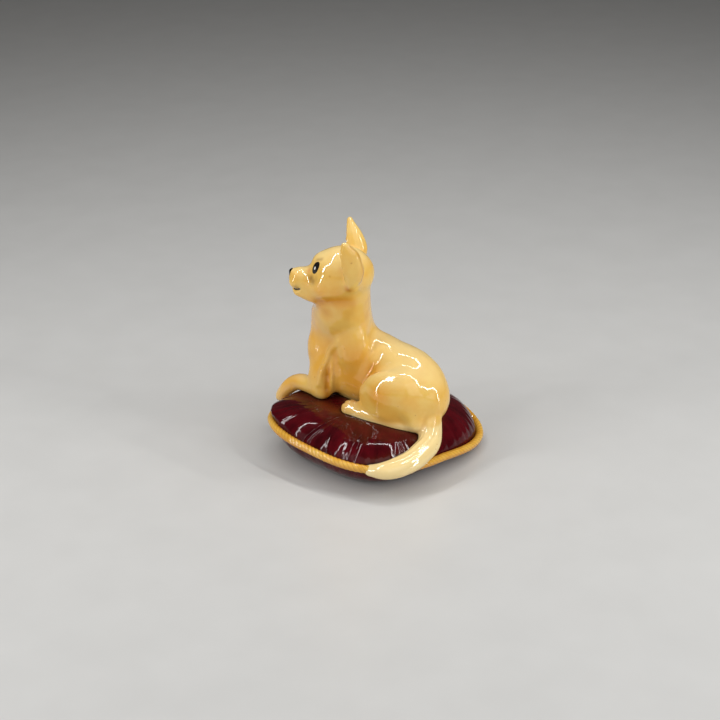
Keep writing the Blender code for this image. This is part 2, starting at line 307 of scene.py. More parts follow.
def on_head(places):
    """Places of the head's frame in the dog's: left, back, up from the crown."""
    p = np.atleast_2d(np.array(places, float))
    return HEAD_PLACE + p[:, :1] * HEAD_FORWARD + p[:, 1:2] * HEAD_LEFT + p[:, 2:3] * UP


def turned(way, side):
    """A direction of the head's frame in the dog's, on the left side for 1 and on the right for -1."""
    return way[0] * HEAD_FORWARD + way[1] * side * HEAD_LEFT + way[2] * UP


def in_world(places):
    """From the dog's parts to metres."""
    return np.atleast_2d(np.array(places, float)) * PART + (0, -DOG_SHIFT_FORWARD, BED)


def in_parts(points):
    """From metres to the dog's parts."""
    return (points - (0, -DOG_SHIFT_FORWARD, BED)) / PART


def moved(way, shapes):
    """The shapes with their vertices brought to another frame."""
    return [([tuple(p) for p in way(verts)], faces) for verts, faces in shapes]


def placed(name, data):
    """A new object in the scene."""
    made = bpy.data.objects.new(name, data)
    bpy.context.scene.collection.objects.link(made)
    return made


def as_object(name, shapes):
    """One object of several closed shapes, not yet fused."""
    mesh = bpy.data.meshes.new(name)
    verts, faces = [], []
    for v, f in shapes:
        base = len(verts)
        verts += [tuple(map(float, p)) for p in v]
        faces += [tuple(i + base for i in face) for face in f]
    mesh.from_pydata(verts, [], faces)
    bm = bmesh.new()
    bm.from_mesh(mesh)
    bmesh.ops.recalc_face_normals(bm, faces=bm.faces)
    bm.to_mesh(mesh)
    bm.free()
    return placed(name, mesh)


def add(obj, shapes):
    """More shapes joined to the object's mesh, still to be fused."""
    other = as_object("more", shapes)
    bm = bmesh.new()
    bm.from_mesh(obj.data)
    bm.from_mesh(other.data)
    bm.to_mesh(obj.data)
    bm.free()
    bpy.data.objects.remove(other)


def fuse(obj, step):
    """One closed skin over all the object's shapes."""
    remesh = obj.modifiers.new("fuse", "REMESH")
    remesh.mode = "VOXEL"
    remesh.voxel_size = step
    remesh.adaptivity = 0.0
    graph = bpy.context.evaluated_depsgraph_get()
    graph.update()
    mesh = bpy.data.meshes.new_from_object(obj.evaluated_get(graph))
    obj.modifiers.clear()
    obj.data = mesh
    return obj


def arrays(obj):
    mesh = obj.data
    points = np.empty(len(mesh.vertices) * 3)
    mesh.vertices.foreach_get("co", points)
    edges = np.empty(len(mesh.edges) * 2, np.int64)
    mesh.edges.foreach_get("vertices", edges)
    return points.reshape(-1, 3), edges.reshape(-1, 2)


def put(obj, points):
    obj.data.vertices.foreach_set("co", np.ascontiguousarray(points).ravel())
    obj.data.update()


def normals_of(obj):
    normals = np.empty(len(obj.data.vertices) * 3)
    obj.data.vertices.foreach_get("normal", normals)
    return normals.reshape(-1, 3)


def means(values, edges, count):
    """For each vertex, the mean of its neighbours' values."""
    a, b = edges.T
    return np.stack([
        np.bincount(a, values[b, k], len(values)) + np.bincount(b, values[a, k], len(values))
        for k in range(values.shape[1])
    ], 1) / count[:, None]


def smooth_shaded(obj):
    for polygon in obj.data.polygons:
        polygon.use_smooth = True


def settle(obj, fills):
    """Fills the valleys between the fused shapes as glaze does, then evens the whole skin a little."""
    points, edges = arrays(obj)
    count = np.bincount(edges.ravel(), minlength=len(points))
    for i in range(fills + EVENINGS):
        shift = means(points, edges, count) - points
        if i < fills:
            normals = normals_of(obj)
            rise = (shift * normals).sum(1)
            points += normals * (np.clip(rise, 0, None) * FILL)[:, None]
            points += (shift - normals * rise[:, None]) * GLIDE
        else:
            points += shift * EVEN
        put(obj, points)
    return obj


def ease(obj, places, ways, sizes, rounds):
    """Evens the skin round some places, with half sizes along three ways, then gives back the fullness it took."""
    points, edges = arrays(obj)
    count = np.bincount(edges.ravel(), minlength=len(points))
    weight = np.zeros(len(points))
    for place in places:
        d = in_parts(points) - place
        q = sum(((d @ way) / size) ** 2 for way, size in zip(ways, sizes))
        weight = np.maximum(weight, np.clip(1.5 - np.sqrt(q), 0, 1))
    start, normals = points.copy(), normals_of(obj)
    for _ in range(rounds):
        points += (means(points, edges, count) - points) * EVEN * weight[:, None]
    loss = ((start - points) * normals).sum(1)
    points += normals * ((loss * weight).sum() / weight.sum() * weight)[:, None]
    put(obj, points)


# How many widths a line or a puff of colour reaches.
REACH = 3


def away(points, path, reach):
    """Distance in parts from each point to a path of places, infinite beyond the reach, and the share along it."""
    path = np.atleast_2d(path)
    out = np.full(len(points), np.inf)
    share = np.zeros(len(points))
    near = ((points > path.min(0) - reach) & (points < path.max(0) + reach)).all(1)
    p = points[near]
    best = np.full(len(p), np.inf)
    along = np.zeros(len(p))
    if len(path) == 1:
        best = ((p - path[0]) ** 2).sum(1)
    for i in range(len(path) - 1):
        a, d = path[i], path[i + 1] - path[i]
        t = np.clip(((p - a) @ d) / max(d @ d, 1e-12), 0, 1)
        gap = ((p - a - t[:, None] * d) ** 2).sum(1)
        closer = gap < best
        best = np.where(closer, gap, best)
        along = np.where(closer, (i + t) / (len(path) - 1), along)
    out[near] = np.sqrt(best)
    share[near] = along
    return out, share


def both(path, signs):
    """A path and its mirror."""
    return [np.array(path, float), np.multiply(path, signs)]


def soft(gap, width):
    """One on the spot, fading to nothing at about twice the width."""
    return np.exp(-((gap / width) ** 2))


class Carving:
    """Gathers the presses and swells of one pass over the dog's skin, then moves the skin once."""

    def __init__(self, obj):
        self.obj = obj
        self.world, _ = arrays(obj)
        self.parts = in_parts(self.world)
        self.move = np.zeros(len(self.parts))

    def line(self, path, width, depth, taper):
        """A groove along a path, shallower at its ends; a depth below zero makes a ridge."""
        gap, share = away(self.parts, smooth_row(path, PATH_STEPS), width * REACH)
        fade = 1 - taper + taper * np.clip(np.minimum(share, 1 - share) * 4, 0, 1)
        self.move -= depth * soft(gap, width) * fade

    def oval(self, place, axes, depth):
        """A hollow with half sizes along three axes; a depth below zero makes a swelling."""
        d = self.parts - place
        q = sum(((d @ (a / np.linalg.norm(a))) / np.linalg.norm(a)) ** 2 for a in axes)
        self.move -= depth * np.exp(-q)

    def done(self):
        put(self.obj, self.world + normals_of(self.obj) * (self.move * PART)[:, None])


RIPPLE_WAVES = 14
RIPPLE_GAIN = 1 / 4.2


def ripple(points, size, seed):
    """A soft wavering from -1 to 1 with waves of about the size given."""
    random = np.random.default_rng(seed)
    out = np.zeros(len(points))
    for _ in range(RIPPLE_WAVES):
        way = random.normal(size=3)
        way /= np.linalg.norm(way)
        length = size * random.uniform(0.7, 1.5)
        out += np.sin(points @ way * (2 * math.pi / length) + random.uniform(0, 6.28))
    return out * RIPPLE_GAIN


# Places on the head: forward, left, up.
EYE = (8.6, 4.5, 3.35)
EYE_TALL = (-0.35, 0.09, 0.93)
EYE_WIDE = (-0.53, 0.805, -0.272)
EYE_SIZE = (1.90, 1.24)
MOUTH = ((16.2, 0.0, -4.0), (15.8, 0.9, -4.2), (15.0, 1.6, -4.5), (14.1, 2.2, -4.5), (13.2, 2.8, -4.1))
JAW_CREASE = ((8.6, 1.6, -8.6), (7.1, 3.7, -7.4), (4.6, 5.6, -6.5), (1.1, 6.2, -6.2), (-2.0, 6.6, -6.6))

# Places on the body: left, back, up.
ARM_FRONT = ((9.6, -4.2, 20.2), (9.9, -7.7, 16.3), (10.1, -8.8, 13.2), (11.1, -10.0, 9.3), (11.6, -10.6, 5.0))
ARM_POCKET = ((10.2, -8.3, 10.0), (10.5, -8.5, 7.4), (10.6, -8.6, 4.6), (10.4, -8.8, 1.0))
ELBOW_EDGE = ((9.8, -7.3, 13.0), (9.8, -7.2, 10.5), (9.9, -7.2, 7.0), (10.0, -7.2, 3.4))
ARM_CREASE = ((9.4, -5.8, 16.4), (8.8, -6.0, 13.2), (8.6, -5.9, 8.7), (8.2, -6.0, 3.6))
HAUNCH_CREASE = ((6.5, 5.6, 14.2), (6.6, 4.8, 13.3), (7.4, 3.9, 11.1), (8.6, 3.6, 7.6), (8.6, 2.8, 4.4))
THIGH_SWELL = (11.8, 12.5, 8.0)
TOES = (
    ((10.0, -1.9, 0.6), (10.0, -1.2, 2.0), (10.1, 0.4, 2.9)),
    ((11.5, -1.8, 0.5), (11.5, -1.1, 1.9), (11.6, 0.5, 2.6)),
)
FINGERS = (
    ((10.2, -29.0, -5.2), (10.0, -28.3, -3.6), (9.9, -26.9, -1.4)),
    ((11.9, -28.8, -5.4), (11.6, -28.2, -3.8), (11.3, -26.8, -1.6)),
)
TAIL_GROOVES = (0.55, 1.0, 1.5, 2.1)

# The folds: path, half width, depth (below zero stands out), and how far the fold fades at its ends.
LAID_FOLDS = ((ARM_FRONT, 1.2, -0.4, 0.5), (ARM_POCKET, 1.0, 0.62, 0.9))
DEEP_FOLDS = ((ARM_CREASE, 1.6, 0.15, 0.9), (HAUNCH_CREASE, 1.9, 0.42, 0.9))
FINE_FOLDS = ((ELBOW_EDGE, 0.6, -0.4, 0.8), (ARM_FRONT, 0.75, -0.5, 0.6))
JAW_FOLD = (1.6, 0.25, 0.8)
MOUTH_CUT = (0.4, 0.42, 0.2)
TOE_CUT = (0.45, 0.3, 0.5)
TAIL_CUT = (0.55, 0.2, 0.7)

# The thigh's swelling and the eye's socket and ball: half sizes, then the depth.
THIGH_AXES = ((9.0, 0, 0), (0, 5.0, 0), (0, 0, 4.8))
THIGH_DEPTH = -0.6
SOCKET = (2.6, 2.0, 3.0, 0.22)
EYEBALL = (1.7, 1.3, 3.0, -0.3)
# The hand-made skin's waver: depth, size of its waves and the seed of the draw.
WAVERS = ((0.05, 7.0, 3), (0.012, 2.6, 4))


def build_dog():
    """The masses fused and settled first, then the ears, nose, feet and tail, then the carving."""
    arm = [limb(UPPER_ARM), limb(FOREARM)]
    leg = [limb(THIGH, blunt=1.3), limb(SHANK), ball(SHOULDER)]
    cheek, brow, seat = [ball(mass) for mass in (CHEEK, BROW, EAR_SEAT)]
    skull = [ball(SKULL), cheek, mirrored(cheek, SIDE), brow, ball(FOREHEAD), seat, mirrored(seat, SIDE)]
    skull += [mirrored(brow, SIDE), limb(MUZZLE), limb(JAW)]
    masses = [limb(TORSO), limb(NECK), ball(BREAST)] + arm + leg + [mirrored(s, FLANK) for s in arm + leg]
    masses += [ball(RUMP), ball(NECK_FOLD)]
    masses += moved(on_head, skull)
    dog = as_object("dog", moved(in_world, masses))
    dog = settle(fuse(dog, ROUGH_STEP), ROUGH_FILLS)
    head_ways = (HEAD_FORWARD, HEAD_LEFT, UP)
    for zone in (TEMPLE, MUZZLE_ROOT):
        ease(dog, on_head(both(zone[:3], SIDE)), head_ways, zone[3:6], zone[6])
    ease(dog, both(THIGH_BACK[:3], FLANK), np.eye(3), THIGH_BACK[3:6], THIGH_BACK[6])
    lip, foot = ball(LIP), limb(HIND_FOOT)
    small = [ball(NOSE), lip, mirrored(lip, SIDE), ear(EAR_SET_BACK), mirrored(ear(-EAR_SET_BACK), SIDE)]
    add(dog, moved(in_world, moved(on_head, small)))
    add(dog, moved(in_world, [foot, mirrored(foot, FLANK), limb(TAIL)]))
    dog = settle(fuse(dog, FINE_STEP), FINE_FILLS)
    carve(dog)
    return dog


def skin_tree(obj):
    return BVHTree.FromPolygons([v.co for v in obj.data.vertices], [p.vertices for p in obj.data.polygons])


def on_skin(tree, places):
    """The places of the dog's parts brought to the nearest points of its skin."""
    found = [tree.find_nearest(Vector(p))[0] for p in in_world(places)]
    return in_parts(np.array([tuple(p) for p in found]))


def eye_axes(side):
    """The eye's long, wide and outward directions, on the left side for 1 and on the right for -1."""
    tall, wide = [turned(way, side) for way in (EYE_TALL, EYE_WIDE)]
    out = np.cross(tall, wide)
    return [way / np.linalg.norm(way) for way in (tall, wide, out)]


def eye_oval(side, sizes):
    return [way * size for way, size in zip(eye_axes(side), sizes)]


def tail_line(turn):
    """A line along the tail's skin, turned from its side towards its top."""
    row = smooth_row(TAIL, 4)[4:-4]
    tangents = np.gradient(row[:, :3], axis=0)
    out = []
    for place, tangent in zip(row, tangents):
        side, over = across(tangent)
        out.append(place[:3] + side * place[3] * math.cos(turn) + over * place[4] * math.sin(turn))
    return np.array(out)


def carve(dog):
    """The soft folds first, then the mouth, toes and fine ridges on the skin they leave, then a slight waver."""
    tree = skin_tree(dog)
    broad = Carving(dog)
    for path, *fold in LAID_FOLDS:
        for one in both(path, FLANK):
            broad.line(on_skin(tree, one), *fold)
    for path, *fold in DEEP_FOLDS:
        for one in both(path, FLANK):
            broad.line(one, *fold)
    for place in both(THIGH_SWELL, FLANK):
        broad.oval(place, np.array(THIGH_AXES), THIGH_DEPTH)
    for path in both(JAW_CREASE, SIDE):
        broad.line(on_head(path), *JAW_FOLD)
    for side in (1, -1):
        eye = on_head(np.multiply(EYE, (1, side, 1)))[0]
        broad.oval(eye, eye_oval(side, SOCKET[:3]), SOCKET[3])
    broad.done()
    tree = skin_tree(dog)
    fine = Carving(dog)
    for path, *fold in FINE_FOLDS:
        for one in both(path, FLANK):
            fine.line(on_skin(tree, one), *fold)
    for side in (1, -1):
        eye = on_skin(tree, on_head(np.multiply(EYE, (1, side, 1))))[0]
        fine.oval(eye, eye_oval(side, EYEBALL[:3]), EYEBALL[3])
    for path in both(MOUTH, SIDE):
        fine.line(on_skin(tree, on_head(path)), *MOUTH_CUT)
    for toes in TOES + FINGERS:
        for path in both(toes, FLANK):
            fine.line(on_skin(tree, path), *TOE_CUT)
    for turn in TAIL_GROOVES:
        fine.line(on_skin(tree, tail_line(turn)), *TAIL_CUT)
    fine.done()
    waver = Carving(dog)
    for depth, size, seed in WAVERS:
        waver.move += depth * ripple(waver.parts, size, seed)
    waver.done()
    smooth_shaded(dog)


# The seam's dip at the hidden front: where it starts, how it slants back to the left, and how soon it is full.
DIP_START = 0.32
DIP_SLANT = 0.44
DIP_OVER = 0.40


def seam_place(angle):
    """A point of the cushion's seam, where the cord lies."""
    c, s = math.cos(angle), math.sin(angle)
    n = CUSHION_SQUARENESS
    r = (abs(c) ** n + abs(s) ** n) ** (-1 / n)
    x, y = r * c, r * s
    z = SEAM_HEIGHT - SEAM_RISE_TO_FRONT * y + SEAM_RISE_TO_LEFT * x + SEAM_TWIST * x * y
    z -= SEAM_DIP_AT_FRONT * min(1.0, max(0.0, -y - DIP_START - DIP_SLANT * max(x, 0.0)) / DIP_OVER)
    z -= SEAM_SAG_AT_LEFT * max(0.0, 1 - y * y) * max(0.0, x) ** 4
    z -= SEAM_SAG_AT_RIGHT_BACK * max(0.0, -x) * max(0.0, y)
    return np.array((x * CUSHION_WIDTH / 2, y * CUSHION_LENGTH / 2 + CUSHION_SHIFT_BACK, z))


AROUND = 720
TOP_RINGS = 96
BELLY_RINGS = 36

# The crown's curve: its two powers, each with what the front and the overhanging corner add to it.
FLATNESS = (4, 2, 4)
STEEPNESS = (0.56, -0.14, -0.10)
CORNER_AT = -42
CORNER_WIDTH = 18

# The gathers on the top and below: seed of the draw, on top or not, depth, and how far in they reach.
GATHERS = 34
GATHER_KINDS = ((11, True, 0.00060, 0.22), (23, False, 0.00034, 0.12))
SECOND_GATHERS = 0.25
PULL_SPREAD = 0.33
PULL_STRENGTH = (0.15, 1.0)
PULL_LENGTH = (0.6, 1.5)
PULL_SLANT = (-0.05, 0.05)
CALM_AT_RIGHT_BACK = 0.65
PILLOW_WAVER = 0.00012
PILLOW_WAVE = 0.010


def pillow(edge, angles):
    """Rings from the crown to the seam and on down to the foot, with each one's share of the way to the seam."""
    middle = np.array((0, CUSHION_SHIFT_BACK, 0))
    front = np.clip(-np.sin(angles), 0, 1) ** 0.7
    corner = np.exp(-(((np.degrees(angles) + 180) % 360 - 180 - CORNER_AT) / CORNER_WIDTH) ** 2)
    flat, steep = [base + f * front + c * corner for base, f, c in (FLATNESS, STEEPNESS)]
    rings, shares = [], []
    for share in 1 - (1 - np.linspace(0.0, 0.998, TOP_RINGS)) ** 1.35:
        share = max(share, 0.01)
        out = share + OVERHANG_AT_CORNER * corner * math.exp(-(((share - 0.95) / 0.05) ** 2))
        ring = middle + (edge - middle) * np.stack([out, out, np.ones(AROUND)], 1)
        ring[:, 2] = edge[:, 2] + (CUSHION_CROWN - edge[:, 2]) * (1 - share**flat) ** steep
        rings.append(ring)
        shares.append(share)
    for share in np.concatenate([(1.0, 0.992), np.linspace(0.98, FOOT_SHARE, BELLY_RINGS)]):
        ring = middle + (edge - middle) * (share, share, 1)
        ring[:, 2] = edge[:, 2] * (1 - math.sqrt(1 - ((share - FOOT_SHARE) / (1 - FOOT_SHARE)) ** 2))
        rings.append(ring)
        shares.append(share)
    return np.array(rings), np.array(shares)


def gathers(arc, inward, seed, depth, reach):
    """How far the puckers of one face stand out: they run in from the cord and fade towards the middle."""
    random = np.random.default_rng(seed)
    pulls = np.sort((np.arange(GATHERS) + random.uniform(-PULL_SPREAD, PULL_SPREAD, GATHERS)) / GATHERS)
    pulls = np.concatenate([[pulls[-1] - 1], pulls, [pulls[0] + 1]])
    strong = random.uniform(*PULL_STRENGTH, GATHERS + 2) ** 1.3
    long = random.uniform(*PULL_LENGTH, GATHERS + 2)
    slant = random.uniform(*PULL_SLANT, GATHERS + 2)
    for values in (strong, long, slant):
        values[-1] = values[1]
        values[0] = values[-2]
    at = (arc[None, :] + np.interp(arc, pulls, slant)[None, :] * inward) % 1
    phase = np.interp(at, pulls, np.arange(GATHERS + 2))
    fade = np.exp(-((inward / (reach * np.interp(at, pulls, long))) ** 1.6)) * np.clip(inward / 0.02 + 0.3, 0, 1)
    first = np.abs(np.sin(math.pi * phase)) ** 0.8 - 0.62
    second = np.abs(np.sin(math.pi * (phase * 2.0 + 0.3))) - 0.64
    strength = np.interp(at, pulls, strong)
    weak = SECOND_GATHERS * np.interp(at, pulls, 1 - strong)
    return depth * strength * fade * first, depth * weak * fade**2 * second


def build_cushion():
    """A pillow puckered along its seam."""
    angles = round_angles(AROUND)
    edge = np.array([seam_place(w) for w in angles])
    length = np.linalg.norm(np.roll(edge, -1, 0) - edge, axis=1)
    arc = np.concatenate([[0], np.cumsum(length)[:-1]]) / length.sum()
    grid, shares = pillow(edge, angles)
    rows = len(grid)
    inward = 1 - shares[:, None]
    on_top = np.arange(rows)[:, None] < TOP_RINGS
    normal = np.cross(np.roll(grid, -1, 1) - np.roll(grid, 1, 1), np.gradient(grid, axis=0))
    normal /= np.maximum(np.linalg.norm(normal, axis=2, keepdims=True), 1e-12)
    normal *= np.sign(normal[TOP_RINGS // 2, :, 2].mean())
    vigour = 1 - CALM_AT_RIGHT_BACK * np.clip(0.7 * (np.sin(angles) - np.cos(angles)), 0, 1)
    move = np.zeros(grid.shape[:2])
    for seed, top, depth, reach in GATHER_KINDS:
        first, second = gathers(arc, inward, seed, depth, reach)
        move += np.where(on_top == top, vigour * first + second, 0)
    move += PILLOW_WAVER * ripple(grid.reshape(-1, 3), PILLOW_WAVE, 5).reshape(move.shape)
    verts = [tuple(p) for p in (grid + normal * move[:, :, None]).reshape(-1, 3)]
    verts += [(0, CUSHION_SHIFT_BACK, CUSHION_CROWN), (0, CUSHION_SHIFT_BACK, 0)]
    faces = []
    for i in range(0, (rows - 1) * AROUND, AROUND):
        for k in range(AROUND):
            j = (k + 1) % AROUND
            faces.append((i + k, i + AROUND + k, i + AROUND + j, i + j))
    for k in range(AROUND):
        j = (k + 1) % AROUND
        faces.append((k, j, rows * AROUND))
        faces.append(((rows - 1) * AROUND + j, (rows - 1) * AROUND + k, rows * AROUND + 1))
    cushion = as_object("cushion", [(verts, faces)])
    smooth_shaded(cushion)
    mark(cushion, "around", np.concatenate([np.tile(arc, rows), [0, 0]]))
    mark(cushion, "inward", np.concatenate([np.repeat(inward[:, 0], AROUND), [1, 1]]))
    return cushion


CORD_TURNS = 33
STRANDS = 4
STRAND_SWELL = 0.11
CORD_STEPS = 1000
CORD_SIDES = 36
# The cord's middle out and up from the seam, in its radii.
CORD_OUT = 0.9
CORD_UP = 0.3
# Where round the cord painted light lies on its crown, and how wide, in radians.
CROWN_TURN = 0.75
CROWN_WIDTH = 0.85


def build_cord():
    """A laid cord of four strands round the seam."""
    angles = round_angles(4 * CORD_STEPS)
    fine = np.array([seam_place(w) for w in angles])
    length = np.linalg.norm(np.roll(fine, -1, 0) - fine, axis=1)
    arc = np.concatenate([[0], np.cumsum(length)])
    at = np.linspace(0, arc[-1], CORD_STEPS, endpoint=False)
    places = np.stack([np.interp(at, arc, np.append(fine[:, k], fine[0, k])) for k in range(3)], 1)
    tangents = np.roll(places, -1, 0) - np.roll(places, 1, 0)
    around = round_angles(CORD_SIDES)
    turns = -2 * math.pi * CORD_TURNS * np.arange(CORD_STEPS)[:, None] / CORD_STEPS
    lobes = np.abs(np.cos(STRANDS / 2 * (around - turns)))
    radius = CORD_DIAMETER / 2
    rings = []
    for p, t, lobe in zip(places, tangents, lobes):
        side, over = across(t)
        centre = p + side * radius * CORD_OUT + over * radius * CORD_UP
        r = radius * (1 - STRAND_SWELL + STRAND_SWELL * lobe)
        rings.append([centre + size * (side * math.cos(w) + over * math.sin(w)) for size, w in zip(r, around)])
    cord = as_object("cord", [skin(rings, closed=True)])
    mark(cord, "groove", (1 - lobes).ravel())
    # Where the painted light on the cord's crown lies.
    crown = soft((around - CROWN_TURN + math.pi) % (2 * math.pi) - math.pi, CROWN_WIDTH)
    mark(cord, "crown", np.tile(crown, CORD_STEPS))
    smooth_shaded(cord)
    return cord


def mark(obj, name, values):
    """A value for each vertex, which the glaze reads."""
    layer = obj.data.attributes.new(name, "FLOAT", "POINT")
    layer.data.foreach_set("value", np.ascontiguousarray(values, dtype=np.float32))


def gap_to(obj, points, limit):
    """Distance in metres from each point to the object's skin, at most the limit."""
    tree = skin_tree(obj)
    out = np.full(len(points), limit)
    for i, p in enumerate(points):
        found = tree.find_nearest(p, limit)
        if found[0] is not None:
            out[i] = found[3]
    return out


def node(tree, kind, **settings):
    made = tree.nodes.new(kind)
    for key, value in settings.items():
        setattr(made, key, value)
    return made


def link(tree, source, target):
    tree.links.new(source, target)


def give(tree, given, socket):
    """Joins a socket to the one given, or sets it to the colour or number given."""
    if isinstance(given, bpy.types.NodeSocket):
        link(tree, given, socket)
    elif isinstance(given, tuple):
        socket.default_value = (*given, 1)
    else:
        socket.default_value = given


def value_of(tree, name):
    return node(tree, "ShaderNodeAttribute", attribute_name=name).outputs["Fac"]


def mixed(tree, factor, a, b):
    """A colour between two others; each may be a colour or a socket."""
    mix = node(tree, "ShaderNodeMix", data_type="RGBA")
    for given, socket in ((factor, mix.inputs["Factor"]), (a, mix.inputs[6]), (b, mix.inputs[7])):
        give(tree, given, socket)
    return mix.outputs[2]


def ranged(tree, source, low, high, to_low=0.0, to_high=1.0):
    """The source's span from low to high brought softly to another span."""
    made = node(tree, "ShaderNodeMapRange", interpolation_type="SMOOTHSTEP")
    names = ("Value", "From Min", "From Max", "To Min", "To Max")
    for name, given in zip(names, (source, low, high, to_low, to_high)):
        give(tree, given, made.inputs[name])
    return made.outputs["Result"]


def reckon(tree, operation, a, b):
    made = node(tree, "ShaderNodeMath", operation=operation)
    give(tree, a, made.inputs[0])
    give(tree, b, made.inputs[1])
    return made.outputs[0]


def noise(tree, where, scale, detail, roughness=0.5):
    made = node(tree, "ShaderNodeTexNoise")
    for name, given in zip(("Vector", "Scale", "Detail", "Roughness"), (where, scale, detail, roughness)):
        give(tree, given, made.inputs[name])
    return made.outputs["Fac"]


def glaze_group():
    """The fired glaze itself: cloudy tone, fine waver of its surface and small dark specks."""
    group = bpy.data.node_groups.new("fired glaze", "ShaderNodeTree")
    face = group.interface
    for name in ("Cloud Size", "Waver Size", "Speck Size"):
        face.new_socket(name=name, in_out="INPUT", socket_type="NodeSocketFloat")
    for name in ("Cloud", "Waver", "Specks", "Roughness"):
        face.new_socket(name=name, in_out="OUTPUT", socket_type="NodeSocketFloat")
    into = node(group, "NodeGroupInput").outputs
    out = node(group, "NodeGroupOutput").inputs
    where = node(group, "ShaderNodeTexCoord").outputs["Object"]
    cloud = noise(group, where, into["Cloud Size"], 5, 0.55)
    link(group, cloud, out["Cloud"])
    link(group, noise(group, where, into["Waver Size"], 2), out["Waver"])
    speck = node(group, "ShaderNodeTexVoronoi")
    link(group, where, speck.inputs["Vector"])
    link(group, into["Speck Size"], speck.inputs["Scale"])
    chance = node(group, "ShaderNodeSeparateColor")
    link(group, speck.outputs["Color"], chance.inputs[0])
    rare = reckon(group, "GREATER_THAN", chance.outputs[0], 0.965)
    dot = ranged(group, speck.outputs["Distance"], 0.10, 0.22, 1.0, 0.0)
    link(group, reckon(group, "MULTIPLY", rare, dot), out["Specks"])
    link(group, ranged(group, cloud, 0.3, 0.7, 0.05, 0.10), out["Roughness"])
    return group


# The sizes of the glaze's clouds, waver and specks, as their noises' scales.
GLAZE_SIZES = (("Cloud Size", 180.0), ("Waver Size", 420.0), ("Speck Size", 900.0))
GLAZE_IOR = 1.52
COAT_ROUGHNESS = 0.03
BUMP_STRENGTH = 0.6


def new_material(name):
    """A material with its tree and its shader's sockets."""
    material = bpy.data.materials.new(name)
    material.use_nodes = True
    tree = material.node_tree
    return material, tree, tree.nodes["Principled BSDF"].inputs


def glazed(name, group, bump, shine=0.5, coat=0.2):
    """A new glaze with its tree, its base colour's socket and its group's outputs."""
    material, tree, shader = new_material(name)
    shader["IOR"].default_value = GLAZE_IOR
    shader["Specular IOR Level"].default_value = shine
    shader["Coat Weight"].default_value = coat
    shader["Coat Roughness"].default_value = COAT_ROUGHNESS
    fired = node(tree, "ShaderNodeGroup", node_tree=group)
    for size, given in GLAZE_SIZES:
        fired.inputs[size].default_value = given
    link(tree, fired.outputs["Roughness"], shader["Roughness"])
    lift = node(tree, "ShaderNodeBump")
    lift.inputs["Strength"].default_value = BUMP_STRENGTH
    lift.inputs["Distance"].default_value = bump
    link(tree, fired.outputs["Waver"], lift.inputs["Height"])
    link(tree, lift.outputs["Normal"], shader["Normal"])
    return material, tree, shader["Base Color"], fired.outputs


CREAM = (0.80, 0.52, 0.125)
PALE = (0.86, 0.69, 0.35)
AMBER = (0.74, 0.33, 0.030)
BROWN = (0.42, 0.14, 0.010)
UMBER = (0.12, 0.055, 0.025)
ROSE = (0.66, 0.22, 0.10)
BLACK = (0.008, 0.007, 0.006)
WHITE = (0.92, 0.90, 0.84)
MAROON = (0.070, 0.0022, 0.0045)
DEEP_MAROON = (0.020, 0.0008, 0.0018)
WINE = (0.125, 0.003, 0.008)
RUSSET = (0.15, 0.030, 0.006)
OCHRE = (0.58, 0.235, 0.010)
OCHRE_DARK = (0.40, 0.13, 0.006)
STRAW = (0.75, 0.44, 0.070)

# How softly the black and white brush marks end, in parts, and the maroon's brush strokes round and inward.
EDGE_BLUR = 0.06
BRUSH_STROKES = (110.0, 4.0)


def dog_glaze(group):
    """Cream with sprayed amber and brushed marks, painted shade in amber and brown, and painted light on the tops.
    """
    material, tree, base, fired = glazed("cream and amber glaze", group, 0.00006)
    colour = mixed(tree, ranged(tree, fired["Cloud"], 0.35, 0.68, 0.0, 0.35), CREAM, AMBER)
    # The amber and the brown hold painted shade as well as sprayed colour, and the pale holds painted light on the
    # tops.
    for field, paint in (("pale", PALE), ("amber_and_shade", AMBER), ("brown_and_shade", BROWN), ("rose", ROSE), ("smudge", UMBER)):
        colour = mixed(tree, value_of(tree, field), colour, paint)
    colour = mixed(tree, reckon(tree, "MULTIPLY", fired["Specks"], 0.5), colour, BROWN)
    for field, paint in (("black", BLACK), ("glint", WHITE)):
        colour = mixed(tree, ranged(tree, value_of(tree, field), -EDGE_BLUR, EDGE_BLUR, 1.0, 0.0), colour, paint)
    link(tree, colour, base)
    return material


def cushion_glaze(group):
    """Maroon in brush strokes that run in from the seam, misted with amber, with painted shadow where the dog lies
    on it.
    """
    material, tree, base, fired = glazed("maroon glaze", group, 0.00010, 0.16, 0.13)
    colour = mixed(tree, ranged(tree, fired["Cloud"], 0.3, 0.7), MAROON, DEEP_MAROON)
    lay = node(tree, "ShaderNodeCombineXYZ")
    for field, strokes, socket in zip(("around", "inward"), BRUSH_STROKES, lay.inputs):
        link(tree, reckon(tree, "MULTIPLY", value_of(tree, field), strokes), socket)
    brushed = ranged(tree, noise(tree, lay.outputs[0], 1, 2), 0.35, 0.7, 0.12, 0.32)
    colour = mixed(tree, brushed, colour, WINE)
    drift = ranged(tree, fired["Cloud"], 0.3, 0.6, 0.7, 1.25)
    colour = mixed(tree, reckon(tree, "MULTIPLY", value_of(tree, "overspray"), drift), colour, RUSSET)
    # Painted shadow where the dog touches the cushion.
    colour = mixed(tree, value_of(tree, "contact_shadow"), colour, DEEP_MAROON)
    link(tree, colour, base)
    return material


